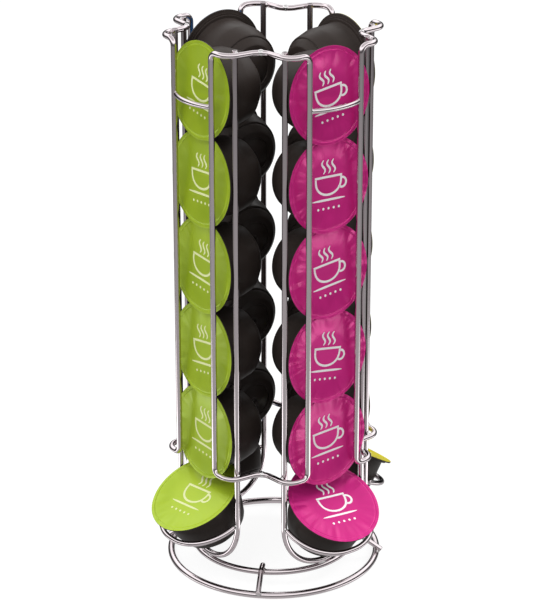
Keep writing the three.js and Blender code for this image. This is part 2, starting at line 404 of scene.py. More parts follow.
class ShapeTree:
    """Geometry Nodes tree that makes a shape and gives it its finish."""

    def __init__(self, name: str, sizes: dict[str, str]) -> None:
        """Start the tree.

        Args:
            name: Name of the tree.
            sizes: Kind of socket for each of its named inputs, apart from its geometry and its finish.
        """
        self.tree = bpy.data.node_groups.new(name, "GeometryNodeTree")
        face = self.tree.interface
        sockets = {"Geometry": "Geometry", **sizes, "Finish": "Material"}
        made = {label: face.new_socket(label, in_out="INPUT", socket_type=f"NodeSocket{kind}")
                for label, kind in sockets.items()}
        self.inputs = {label: socket.identifier for label, socket in made.items()}
        face.new_socket("Geometry", in_out="OUTPUT", socket_type="NodeSocketGeometry")
        self.given = self.add("NodeGroupInput").outputs

    def add(self, kind: str, inputs: dict | None = None, **settings) -> bpy.types.Node:
        """Add a node to this tree, as add_node does."""
        return add_node(self.tree, kind, inputs, **settings)

    def dress(self, shape: bpy.types.Node) -> None:
        """End the tree: smooth shading, instances made real, and the finish.

        Args:
            shape: Node that makes the shape.
        """
        smooth = self.add("GeometryNodeSetShadeSmooth", {"Geometry": shape})
        real = self.add("GeometryNodeRealizeInstances", {"Geometry": smooth})
        dressed = self.add("GeometryNodeSetMaterial", {"Geometry": real, "Material": self.given["Finish"]})
        self.add("NodeGroupOutput", {"Geometry": dressed})

    def run(self, name: str, mesh: bpy.types.Mesh, values: dict) -> bpy.types.Object:
        """Run the tree on a mesh and keep what it makes as a piece with a plain mesh.

        Args:
            name: Name of the piece.
            mesh: Mesh that the tree starts from.
            values: Value of each named input of the tree.

        Returns:
            The piece, without a modifier.
        """
        carrier = add_object(f"{name}_line", mesh)
        modifier = carrier.modifiers.new("shape", "NODES")
        modifier.node_group = self.tree
        for label, value in values.items():
            modifier[self.inputs[label]] = value
        made = carrier.evaluated_get(bpy.context.evaluated_depsgraph_get())
        plain = bpy.data.meshes.new_from_object(made)
        bpy.data.objects.remove(carrier)
        shell = bmesh.new()
        shell.from_mesh(plain)
        if shell.calc_volume(signed=True) < 0:
            bmesh.ops.reverse_faces(shell, faces=shell.faces)
            shell.to_mesh(plain)
        shell.free()
        return add_piece(name, plain)


class SweepTree(ShapeTree):
    """Tree that sweeps a round section along the edges of a mesh."""

    def __init__(self) -> None:
        """Build the tree with named inputs for the wire's diameter and its sides."""
        super().__init__("wire_sweep", {"Wire Diameter": "Float", "Sides": "Int"})
        line = self.add("GeometryNodeMeshToCurve", {"Mesh": self.given["Geometry"]})
        radius = self.add("ShaderNodeMath", {0: self.given["Wire Diameter"], 1: 2.0}, operation="DIVIDE")
        section = self.add("GeometryNodeCurvePrimitiveCircle", {"Resolution": self.given["Sides"],
                                                               "Radius": radius})
        taper = self.add("GeometryNodeInputNamedAttribute", {"Name": "taper"}, data_type="FLOAT")
        self.dress(self.add("GeometryNodeCurveToMesh", {"Curve": line, "Profile Curve": section,
                                                        "Scale": taper, "Fill Caps": True}))


class BeadTree(ShapeTree):
    """Tree that puts a lumpy bead of weld metal on every point of a mesh."""

    segments = 20
    rings = 12
    lump_size = 1.1

    def __init__(self) -> None:
        """Build the tree with a named input for the height of the lumps."""
        super().__init__("weld_beads", {"Lump Height": "Float"})
        joint, run, size = (self.add("GeometryNodeInputNamedAttribute", {"Name": name},
                                     data_type="FLOAT_VECTOR") for name in ("joint", "run", "size"))
        ball = self.add("GeometryNodeMeshUVSphere", {"Segments": self.segments, "Rings": self.rings,
                                                     "Radius": 1.0})
        turn = self.add("FunctionNodeAxesToRotation", {"Primary Axis": joint, "Secondary Axis": run},
                        primary_axis="Z", secondary_axis="X")
        beads = self.add("GeometryNodeInstanceOnPoints", {"Points": self.given["Geometry"], "Instance": ball,
                                                          "Rotation": turn, "Scale": size})
        real = self.add("GeometryNodeRealizeInstances", {"Geometry": beads})
        grain = self.add("ShaderNodeTexNoise", {"Scale": 1 / (self.lump_size * MM), "Detail": 1.0})
        middle = self.add("ShaderNodeMath", {0: grain, 1: 0.5}, operation="SUBTRACT")
        lift = self.add("ShaderNodeMath", {0: middle, 1: self.given["Lump Height"]}, operation="MULTIPLY")
        push = self.add("ShaderNodeVectorMath", {0: self.add("GeometryNodeInputNormal"), "Scale": lift},
                        operation="SCALE")
        self.dress(self.add("GeometryNodeSetPosition", {"Geometry": real, "Offset": push}))


def bend_points(before: Vector, corner: Vector, after: Vector, radius: float,
                step: float = 6 * DEGREE) -> list[Vector]:
    """Round a corner of a wire.

    Args:
        before: Point on the wire before the corner.
        corner: Where the two straight runs would meet.
        after: Point on the wire after the corner.
        radius: Bend radius of the wire's centre line.
        step: Turn of the wire from one point to the next.

    Returns:
        Points along the bend, ends included.
    """
    incoming = (corner - before).normalized()
    outgoing = (after - corner).normalized()
    turn = incoming.angle(outgoing)
    start = corner - incoming * radius * math.tan(turn / 2)
    inward = (outgoing - incoming * math.cos(turn)).normalized()
    centre = start + inward * radius
    steps = max(2, math.ceil(turn / step))
    angles = [turn * share for share in even_shares(steps)]
    return [centre - inward * radius * math.cos(a) + incoming * radius * math.sin(a) for a in angles]


def bent_line(corners: list[Vector], radii: list[float]) -> list[Vector]:
    """Centre line of a bent wire.

    Args:
        corners: Both ends of the wire and the corners between them.
        radii: Bend radius at each corner between the ends.

    Returns:
        Points along the wire, none of them twice.
    """
    points = [corners[0]]
    for i, radius in enumerate(radii):
        points += bend_points(corners[i], corners[i + 1], corners[i + 2], radius)
    points.append(corners[-1])
    return [p for i, p in enumerate(points) if i == 0 or (p - points[i - 1]).length > MM]


def nearest_on(line: list[Vector], spot: Vector) -> tuple[Vector, Vector]:
    """Find the point of a centre line that is nearest to a spot.

    Args:
        line: Points along the wire.
        spot: Where to look from.

    Returns:
        The nearest point of the line, and the direction of the wire there.
    """
    best = None
    for a, b in zip(line, line[1:]):
        run = b - a
        share = min(1.0, max(0.0, (spot - a).dot(run) / run.length_squared))
        point = a + run * share
        if best is None or (point - spot).length < (best[0] - spot).length:
            best = (point, run.normalized())
    return best


@dataclass(frozen=True)
class CapsuleSizes:
    """Sizes of a capsule in millimetres, radii from its axis and depths back from the face of its lid."""

    flange_radius: float = 26.75
    flange_depth: float = 1.0
    ridge_radius: float = 24.0
    ridge_depth: float = 2.2
    shoulder_radius: float = 22.3
    wall_depth: float = 14.0
    wall_taper: float = 0.5
    dome_inset: float = 7.4
    dome_turn: float = 9.0
    height: float = 30.0
    heel_radius: float = 19.05
    heel_rise: float = 4.5
    heel_groove: float = 0.5
    pit_radius: float = 2.1
    pit_depth: float = 1.1
    boss_radius: float = 3.2
    recess_radius: float = 9.6
    recess_depth: float = 0.15
    end_groove: float = 0.5
    foil_depth: float = 0.1
    seal_gap: float = 0.02
    well_depth: float = 1.3
    well_rounding: float = 0.5
    rim_width: float = 1.6
    groove_width: float = 0.8
    groove_depth: float = 0.2
    dish: float = 0.62
    dent_height: float = 0.05
    dent_size: float = 12.0
    shoulder_rounding: float = 0.5
    edge_rounding: float = 0.3
    fine_rounding: float = 0.2

    @property
    def wall_slope(self) -> float:
        """How fast the radius of the wall shrinks along the axis."""
        return self.wall_taper / (self.wall_depth - self.ridge_depth)

    @property
    def well_radius(self) -> float:
        """Radius of the well inside the flat rim, over which the foil is dished."""
        return self.flange_radius - self.rim_width

    @property
    def waist_radius(self) -> float:
        """Radius at which the wall goes over into the dome."""
        return self.shoulder_radius - self.wall_taper

    @property
    def end_radius(self) -> float:
        """Radius of the flat end."""
        return self.waist_radius - self.dome_inset

    @property
    def dome_radius(self) -> float:
        """Radius of the round profile of the dome."""
        return ((self.height - self.wall_depth) ** 2 + self.dome_inset ** 2) / (2 * self.dome_inset)

    @property
    def dome_offset(self) -> float:
        """Distance of the centre of the dome's round profile from the axis."""
        return self.waist_radius - self.dome_radius


@dataclass(frozen=True)
class RackSizes:
    """Sizes of the rack in millimetres, at the centre of each wire."""

    capsule: CapsuleSizes = field(default_factory=CapsuleSizes)
    lower_ring_wire: float = 3.8
    upper_ring_wire: float = 3.4
    strut_wire: float = 3.0
    rail_wire: float = 3.2
    frame_wire: float = 3.2
    tie_wire: float = 3.0
    stop_wire: float = 3.0
    weld_gap: float = 0.3
    channel_gap: float = 0.3
    upright_gap: float = 1.85
    ring_step: float = 13.85
    upper_ring_height: float = 9.1
    strut_slope: float = 34 * DEGREE
    strut_inner_end: float = 1.9
    strut_outer_end: float = 1.3
    strut_bend: float = 3.0
    end_gap: float = 4.65
    column_tilt: float = 3 * DEGREE
    stack_count: int = 5
    outlet_lean: float = 10.0
    outlet_rise: float = 12.4
    outlet_tilt: float = 59.4 * DEGREE
    seat_gap: float = 0.3
    rail_side_gap: float = 0.35
    rail_top_rise: float = 2.1
    frame_foot: float = 18.2
    frame_head: float = 25.3
    upright_inset: float = 9.7
    apex_inset: float = 0.65
    lobe_outset: float = 3.3
    wave_bend: float = 8.0
    upright_bend: float = 4.0
    tie_drop: float = 30.0
    tie_bow: float = 3.5
    stop_depth: float = 12.1
    stop_clearance: float = 2.1
    stop_rise: float = 0.85

    @property
    def column_reach(self) -> float:
        """Distance of the middle of a standing lid from the axis of the tower."""
        cup = self.capsule
        return cup.end_radius + self.end_gap + cup.height * math.cos(self.column_tilt)

    @property
    def rail_half_spread(self) -> float:
        """Half the distance between the two legs of a rail."""
        return self.capsule.flange_radius + self.rail_side_gap

    @property
    def rail_reach(self) -> float:
        """Distance of a rail from the axis of the tower, just behind the leaning flanges.

        Returns:
            Distance in millimetres.
        """
        rise = math.sqrt(self.capsule.flange_radius ** 2 - (self.rail_half_spread - self.rail_wire / 2) ** 2)
        back = self.column_reach - rise * math.tan(self.column_tilt)
        flange = self.capsule.flange_depth / math.cos(self.column_tilt)
        return back - flange - self.rail_wire / 2 - self.channel_gap

    @property
    def upper_ring_radius(self) -> float:
        """Radius of the upper ring, which stands under the rails."""
        return self.rail_reach

    @property
    def lower_ring_radius(self) -> float:
        """Radius of the lower ring."""
        return self.upper_ring_radius + self.ring_step

    @property
    def hairpin_bottom(self) -> float:
        """Height of the lowest point of a rail."""
        return self.upper_ring_height + (self.upper_ring_wire + self.rail_wire) / 2 + self.weld_gap

    @property
    def hairpin_spring(self) -> float:
        """Height at which the legs of a rail go over into its round bend."""
        return self.hairpin_bottom + self.rail_half_spread

    @property
    def upright_half_spread(self) -> float:
        """Half the distance between the two uprights in front of a column."""
        return self.capsule.flange_radius - self.upright_inset

    @property
    def upright_reach(self) -> float:
        """Distance of the uprights from the axis of the tower, just in front of the leaning lids.

        Returns:
            Distance in millimetres.
        """
        inner_edge = self.upright_half_spread - self.frame_wire / 2
        drop = math.sqrt(self.capsule.flange_radius ** 2 - inner_edge ** 2)
        return self.column_reach + drop * math.sin(self.column_tilt) + self.frame_wire / 2 + self.upright_gap

    @property
    def outlet_reach(self) -> float:
        """Distance of the middle of a tipped lid from the axis of the tower."""
        return self.rail_reach + self.outlet_lean

    @property
    def outlet_height(self) -> float:
        """Height of the middle of a tipped lid, which leans out above the round bend of the hairpin."""
        return self.hairpin_spring + self.outlet_rise

    @property
    def stack_bottom(self) -> float:
        """Height of the middle of the lowest standing lid, whose cup rests on the edge of the tipped one.

        Returns:
            Height in millimetres.
        """
        cup, tilt = self.capsule, self.column_tilt
        edge_reach = self.outlet_reach - cup.flange_radius * math.sin(self.outlet_tilt)
        edge_height = self.outlet_height + cup.flange_radius * math.cos(self.outlet_tilt)
        dome_reach = self.column_reach - cup.wall_depth * math.cos(tilt) + cup.dome_offset * math.sin(tilt)
        rise = math.sqrt((cup.dome_radius + self.seat_gap) ** 2 - (edge_reach - dome_reach) ** 2)
        return edge_height + rise + cup.wall_depth * math.sin(tilt) + cup.dome_offset * math.cos(tilt)

    @property
    def stack_pitch(self) -> float:
        """Height from one standing lid to the next.

        Returns:
            Height in millimetres.
        """
        cup = self.capsule
        rise = cup.flange_radius + cup.shoulder_radius + cup.wall_slope * cup.ridge_depth + self.seat_gap
        return rise / (math.cos(self.column_tilt) + cup.wall_slope * math.sin(self.column_tilt))

    @property
    def frame_bottom(self) -> float:
        """Height of the lower wave of a wave frame."""
        return self.stack_bottom - self.frame_foot

    @property
    def frame_top(self) -> float:
        """Height of the upper wave of a wave frame."""
        return self.stack_bottom + (self.stack_count - 1) * self.stack_pitch + self.frame_head


class Rack:
    """The rack of chromed wire: two base rings, struts, rails, stop wires, wave frames and tie wires."""

    body = "rack"
    slot = "chrome_wire"
    sides = 28
    ring_steps = 180
    end_shares = ((0.0, 0.84), (0.03, 0.94), (0.09, 0.99), (0.16, 1.0))
    strut_bead = (1.9, 1.6, 1.0)
    crest_bead = (2.3, 1.82, 1.82)
    foot_bead = (3.2, 1.3, 1.0)
    frame_bead = (1.9, 1.3, 1.0)
    stop_bead = (1.6, 1.2, 1.1)
    tie_bead = (1.7, 1.35, 0.8)
    lump_height = 0.35

    def __init__(self, sizes: RackSizes) -> None:
        """Keep the sizes and make the trees and the finishes.

        Args:
            sizes: Sizes of the rack.
        """
        self.sizes = sizes
        self.sweep = SweepTree()
        self.beads = BeadTree()
        self.chrome = ChromePlate().make()
        self.weld_metal = WeldBead().make()
        self.welds: list[tuple[Vector, Vector, Vector, Vector]] = []

    def carrier(self, points: list[Vector], tapers: list[float], closed: bool) -> bpy.types.Mesh:
        """Mesh of bare edges along a centre line, for the sweep.

        Args:
            points: Centre line in millimetres.
            tapers: Share of the full diameter at each point.
            closed: Whether the last point joins the first.

        Returns:
            The mesh, in metres.
        """
        count = len(points)
        edges = [(i, (i + 1) % count) for i in range(count if closed else count - 1)]
        mesh = bpy.data.meshes.new("line")
        mesh.from_pydata([p * MM for p in points], edges, [])
        mesh.attributes.new("taper", "FLOAT", "POINT").data.foreach_set("value", tapers)
        return mesh

    def rounded_ends(self, points: list[Vector], diameter: float) -> tuple[list[Vector], list[float]]:
        """Give an open wire its sheared ends, flat with a small round edge from tumbling and plating.

        Args:
            points: Centre line in millimetres.
            diameter: Diameter of the wire in millimetres.

        Returns:
            The centre line with more points at its ends, and the share of the full diameter at each point.
        """
        first = (points[1] - points[0]).normalized()
        last = (points[-2] - points[-1]).normalized()
        head = [(points[0] + first * along * diameter, share) for along, share in self.end_shares]
        tail = [(points[-1] + last * along * diameter, share) for along, share in reversed(self.end_shares)]
        line = head + [(p, 1.0) for p in points[1:-1]] + tail
        return [p for p, _ in line], [share for _, share in line]

    def add_wire(self, node: str, points: list[Vector], diameter: float, closed: bool = False) -> None:
        """Sweep one wire and seat it on the rack in place of its node.

        Args:
            node: Node of the frame that the wire stands for.
            points: Centre line in millimetres.
            diameter: Diameter of the wire in millimetres.
            closed: Whether the wire is a ring.
        """
        tapers = [1.0] * len(points)
        if not closed:
            points, tapers = self.rounded_ends(points, diameter)
        values = {"Wire Diameter": diameter * MM, "Sides": self.sides, "Finish": self.chrome}
        wire = self.sweep.run(f"{node}_wire", self.carrier(points, tapers, closed), values)
        seat_piece(wire, self.body, self.slot, node)
        places = np.array([v.co for v in wire.data.vertices])
        off = np.abs(np.array(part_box(node)) - (places.min(0), places.max(0))).max() / MM
        log.info("%s departs from its solid's box by %.2f mm", wire.name, off)

    def add_weld(self, here: Vector, there: Vector, run: Vector, size: tuple[float, float, float],
                 at: Vector | None = None) -> None:
        """Note a weld between two wires.

        Args:
            here: Point on the centre line of the first wire.
            there: Nearest point on the centre line of the second wire.
            run: Direction in which the bead is longest.
            size: Half lengths of the bead along its run, across it and from wire to wire.
            at: Middle of the bead, where it isn't halfway.
        """
        middle = (here + there) / 2 if at is None else at
        self.welds.append((middle, (there - here).normalized(), run.normalized(), Vector(size)))

    def ring(self, radius: float, height: float) -> list[Vector]:
        """Centre line of a flat ring round the axis of the tower."""
        angles = [2 * math.pi * i / self.ring_steps for i in range(self.ring_steps)]
        return [Vector((radius * math.cos(a), radius * math.sin(a), height)) for a in angles]

    def strut(self) -> list[Vector]:
        """Centre line of a strut, which lies on the upper ring, bends down and lies on the lower ring.

        Returns:
            Points in millimetres, for the gap at +X.
        """
        s = self.sizes
        over_upper = s.upper_ring_height + (s.upper_ring_wire + s.strut_wire) / 2 + s.weld_gap
        over_lower = (s.lower_ring_wire + s.strut_wire) / 2 + s.weld_gap
        rest = Vector((s.lower_ring_radius + over_lower * math.sin(s.strut_slope), 0,
                       s.lower_ring_wire / 2 + over_lower * math.cos(s.strut_slope)))
        down = Vector((math.cos(s.strut_slope), 0, -math.sin(s.strut_slope)))
        bend_reach = rest.x - (over_upper - rest.z) / math.tan(s.strut_slope)
        corners = [Vector((s.upper_ring_radius - s.strut_inner_end, 0, over_upper)),
                   Vector((bend_reach, 0, over_upper)), rest + down * s.strut_outer_end]
        return bent_line(corners, [s.strut_bend])

    def rail(self) -> list[Vector]:
        """Centre line of a rail: a hairpin with its bend down, standing on the upper ring.

        Returns:
            Points in millimetres, for the column at +X.
        """
        s = self.sizes
        spread = s.rail_half_spread
        corners = [Vector((s.rail_reach, side * spread, height)) for side, height in
                   ((-1, s.frame_top + s.rail_top_rise), (-1, s.hairpin_bottom), (1, s.hairpin_bottom),
                    (1, s.frame_top + s.rail_top_rise))]
        return bent_line(corners, [spread, spread])

    def stop(self) -> list[Vector]:
        """Centre line of a stop wire: a bow from rail to rail that slopes down round the tipped cup.

        Returns:
            Points in millimetres, for the column at +X.
        """
        s, cup = self.sizes, self.sizes.capsule
        facing = Vector((math.cos(s.outlet_tilt), 0, math.sin(s.outlet_tilt)))
        under = Vector((math.sin(s.outlet_tilt), 0, -math.cos(s.outlet_tilt)))
        cup_radius = cup.shoulder_radius - (s.stop_depth - cup.ridge_depth) * cup.wall_slope
        bow = (Vector((s.outlet_reach, 0, s.outlet_height)) - facing * s.stop_depth
               + under * (cup_radius + s.stop_clearance + s.stop_wire / 2))
        at_rail = Vector((s.rail_reach, 0, s.hairpin_spring + s.stop_rise))
        slope = math.atan2(at_rail.z - bow.z, bow.x - at_rail.x)
        off = s.rail_wire / 2 + s.weld_gap + s.stop_wire / 2 * math.sin(slope)
        start = at_rail + Vector((off, 0, -off * math.tan(slope)))
        spread = Vector((0, s.rail_half_spread, 0))
        radius = min((bow - start).length, s.rail_half_spread)
        return bent_line([start - spread, bow - spread, bow + spread, start + spread], [radius, radius])

    def tie(self) -> list[Vector]:
        """Centre line of a tie wire: an arc from upright to upright across the highest lid.

        Returns:
            Points in millimetres, for the column at +X.
        """
        s = self.sizes
        half_span = s.upright_half_spread - s.frame_wire / 2 - s.weld_gap
        radius = (half_span ** 2 + s.tie_bow ** 2) / (2 * s.tie_bow)
        height = s.frame_top - s.tie_drop
        corner = Vector((s.upright_reach + half_span * math.tan(math.asin(half_span / radius)), 0, height))
        ends = [Vector((s.upright_reach, side * half_span, height)) for side in (-1, 1)]
        return bend_points(ends[0], corner, ends[1], radius)

    def wave_frame(self) -> list[Vector]:
        """Centre line of a wave frame: a loop whose ends meet in the middle of its lower wave.

        Returns:
            Points in millimetres, for the gap at +X.
        """
        s = self.sizes

        def seen_from_gap(reach: float, spread: float) -> tuple[float, float]:
            """Outward and sideways place in the gap of a point of the column beside it."""
            return (reach + spread) * math.sqrt(0.5), (reach - spread) * math.sqrt(0.5)

        upright = seen_from_gap(s.upright_reach, s.upright_half_spread)
        rail_out, rail_across = seen_from_gap(s.rail_reach, s.rail_half_spread)
        apex = (s.rail_reach - s.apex_inset, 0.0)
        to_rail = math.atan2(rail_out - apex[0], rail_across)
        past = math.asin(((s.rail_wire + s.frame_wire) / 2 + s.weld_gap)
                         / math.hypot(rail_out - apex[0], rail_across))
        lobe_spread = rail_across + s.lobe_outset
        lobe = (apex[0] + lobe_spread * math.tan(to_rail + past), lobe_spread)
        low, high = s.frame_bottom, s.frame_top
        turns = [(lobe, 1, low), (upright, 1, low), (upright, 1, high), (lobe, 1, high), (apex, 1, high),
                 (lobe, -1, high), (upright, -1, high), (upright, -1, low), (lobe, -1, low)]
        corners = [Vector((place[0], side * place[1], height)) for place, side, height in turns]
        side_bends = [s.upright_bend] * 2
        radii = [s.wave_bend, *side_bends, s.wave_bend, s.wave_bend, s.wave_bend, *side_bends, s.wave_bend]
        joint = bend_points(corners[-1], Vector((apex[0], 0, low)), corners[0], s.wave_bend)
        crest = min(p.x for p in joint)
        ends = [Vector((crest, side * s.weld_gap / 2, low)) for side in (1, -1)]
        right, left = ([p for p in joint if side * p.y > s.frame_wire / 2] for side in (1, -1))
        loop = bent_line([right[-1], *corners, left[0]], radii)
        return [ends[0], *right[:-1], *loop, *left[1:], ends[1]]

    def build(self) -> None:
        """Make every wire and then the welds between them."""
        s = self.sizes
        self.add_wire("lower_base_ring", self.ring(s.lower_ring_radius, s.lower_ring_wire / 2),
                      s.lower_ring_wire, closed=True)
        self.add_wire("upper_base_ring", self.ring(s.upper_ring_radius, s.upper_ring_height),
                      s.upper_ring_wire, closed=True)
        for side in Side:
            self.add_gap(side)
        for column in Column:
            self.add_column(column)
        self.add_beads()

    def add_gap(self, side: Side) -> None:
        """Make the strut and the wave frame of a gap, with their welds.

        Args:
            side: Which gap.
        """
        s = self.sizes
        turn = turn_of(side)
        strut = [turn @ p for p in self.strut()]
        wave = [turn @ p for p in self.wave_frame()]
        self.add_wire(f"base_strut_{name_of(side)}", strut, s.strut_wire)
        self.add_wire(f"wave_frame_{name_of(side)}", wave, s.frame_wire)
        outward = turn @ Vector((1, 0, 0))
        across = turn @ Vector((0, 1, 0))
        rings = ((s.upper_ring_radius, s.upper_ring_height), (s.lower_ring_radius, s.lower_ring_wire / 2))
        for radius, height in rings:
            spot = outward * radius + Vector((0, 0, height))
            self.add_weld(spot, nearest_on(strut, spot)[0], across, self.strut_bead)
        for height in (s.frame_bottom, s.frame_top):
            crest = nearest_on(wave, outward * (s.rail_reach - s.apex_inset) + Vector((0, 0, height)))[0]
            self.add_weld(crest, crest + Vector((0, 0, s.weld_gap)), across, self.crest_bead)

    def add_column(self, column: Column) -> None:
        """Make the rail, the stop wire and the tie wire of a column, with their welds.

        Args:
            column: Which column.
        """
        s = self.sizes
        turn = turn_of(column)
        rail = [turn @ p for p in self.rail()]
        stop = [turn @ p for p in self.stop()]
        tie = [turn @ p for p in self.tie()]
        waves = [[turn_of(side) @ p for p in self.wave_frame()] for side in Side]
        self.add_wire(f"column_rail_{name_of(column)}", rail, s.rail_wire)
        self.add_wire(f"stop_wire_{name_of(column)}", stop, s.stop_wire)
        self.add_wire(f"tie_wire_{name_of(column)}", tie, s.tie_wire)
        outward = turn @ Vector((1, 0, 0))
        across = turn @ Vector((0, 1, 0))
        up = Vector((0, 0, 1))
        base = outward * s.upper_ring_radius + up * s.upper_ring_height
        self.add_weld(base, nearest_on(rail, base)[0], across, self.foot_bead)
        for side in (-1, 1):
            leg = outward * s.rail_reach + across * side * s.rail_half_spread
            for height in (s.frame_bottom, s.frame_top):
                spot = leg + up * height
                near = min((nearest_on(wave, spot) for wave in waves), key=lambda hit: (hit[0] - spot).length)
                self.add_weld(spot, near[0], up, self.frame_bead)
            end = stop[0] if side < 0 else stop[-1]
            self.add_weld(leg + up * end.z, end, up, self.stop_bead)
            end = tie[0] if side < 0 else tie[-1]
            upright = outward * s.upright_reach + across * side * s.upright_half_spread + up * end.z
            touch = end + (upright - end).normalized() * s.weld_gap
            self.add_weld(touch, upright, up, self.tie_bead, at=touch)

    def add_beads(self) -> None:
        """Turn the noted welds into one piece of beads."""
        mesh = bpy.data.meshes.new("weld_points")
        mesh.from_pydata([weld[0] * MM for weld in self.welds], [], [])
        for attribute, place, scale in (("joint", 1, 1.0), ("run", 2, 1.0), ("size", 3, MM)):
            values = np.array([weld[place] for weld in self.welds]) * scale
            mesh.attributes.new(attribute, "FLOAT_VECTOR", "POINT").data.foreach_set("vector", values.ravel())
        values = {"Lump Height": self.lump_height * MM, "Finish": self.weld_metal}
        seat_piece(self.beads.run("weld_beads", mesh, values), self.body, self.slot)


@dataclass(frozen=True)
class Ribbon:
    """A printed stroke on a lid: its centre line, sideways and up from the middle, and its half widths."""

    points: list[Point]
    half_widths: list[float]


class CupMotif:
    """A plain pictogram of a steaming cup in outline, where a lid carries its decoration."""

    stroke = 0.62
    ink_gap = 0.1
    bowl_half_width = 8.6
    bowl_depth = 9.1
    bowl_top = 4.4
    handle_radius = 2.7
    handle_gap = 0.6
    handle_drop = 4.2
    handle_turns = range(-130, 111, 15)
    saucer_half_width = 11.2
    saucer_height = -8.2
    steam_length = 7.6
    steam_sway = 1.1
    steam_spread = 3.4
    steam_gap = 1.9
    dot_radius = 0.7
    dot_step = 3.5
    dot_height = -12.9
    dot_tip = 0.05

    def ribbons(self) -> list[Ribbon]:
        """All strokes of the pictogram.

        Returns:
            The strokes, in the order in which they are laid.
        """
        even = [Ribbon(points, [self.stroke] * len(points))
                for points in (self.rim(), self.bowl(), self.handle())]
        return [*even, self.saucer(), *self.steam(), *self.dots()]

    def rim(self) -> list[Point]:
        """Line of the straight rim of the cup."""
        reach = self.bowl_half_width + self.stroke
        return [((2 * share - 1) * reach, self.bowl_top) for share in even_shares(16)]

    def bowl(self) -> list[Point]:
        """Line of the bowl of the cup under its rim: steep at the sides and flat at the bottom.

        Returns:
            Points in millimetres.
        """
        foot = self.bowl_top - self.stroke - self.ink_gap
        angles = [math.pi * share for share in even_shares(30)]
        return [(-self.bowl_half_width * math.cos(a), foot - self.bowl_depth * math.sin(a) ** 0.75)
                for a in angles]

    def handle(self) -> list[Point]:
        """Line of the handle at the right of the bowl.

        Returns:
            Points in millimetres.
        """
        out, up = self.bowl_half_width + self.handle_gap, self.bowl_top - self.handle_drop
        angles = [turn * DEGREE for turn in self.handle_turns]
        return [(out + self.handle_radius * math.cos(a), up + self.handle_radius * math.sin(a))
                for a in angles]

    def saucer(self) -> Ribbon:
        """The saucer below the bowl, thin at both ends.

        Returns:
            The stroke.
        """
        places = [2 * share - 1 for share in even_shares(18)]
        widths = [self.stroke * (0.25 + 0.75 * (1 - place ** 4)) for place in places]
        return Ribbon([(place * self.saucer_half_width, self.saucer_height) for place in places], widths)

    def steam(self) -> list[Ribbon]:
        """Three waving wisps of steam above the bowl, thin at both ends.

        Returns:
            A stroke for each wisp.
        """
        foot, shares = self.bowl_top + self.steam_gap, even_shares(14)
        waves = [self.steam_sway * math.sin(2 * math.pi * share) for share in shares]
        widths = [self.stroke * (0.3 + 0.7 * math.sin(math.pi * share) ** 0.5) for share in shares]
        return [Ribbon([(x + wave, foot + share * self.steam_length) for share, wave in zip(shares, waves)],
                       widths) for x in (-self.steam_spread, 0.0, self.steam_spread)]

    def dots(self) -> list[Ribbon]:
        """A row of five dots under the saucer.

        Returns:
            A stroke for each dot.
        """
        angles = [math.pi * share for share in even_shares(8)]
        widths = [max(self.dot_tip, self.dot_radius * math.sin(a)) for a in angles]
        return [Ribbon([(i * self.dot_step - self.dot_radius * math.cos(a), self.dot_height) for a in angles],
                       widths) for i in range(-2, 3)]


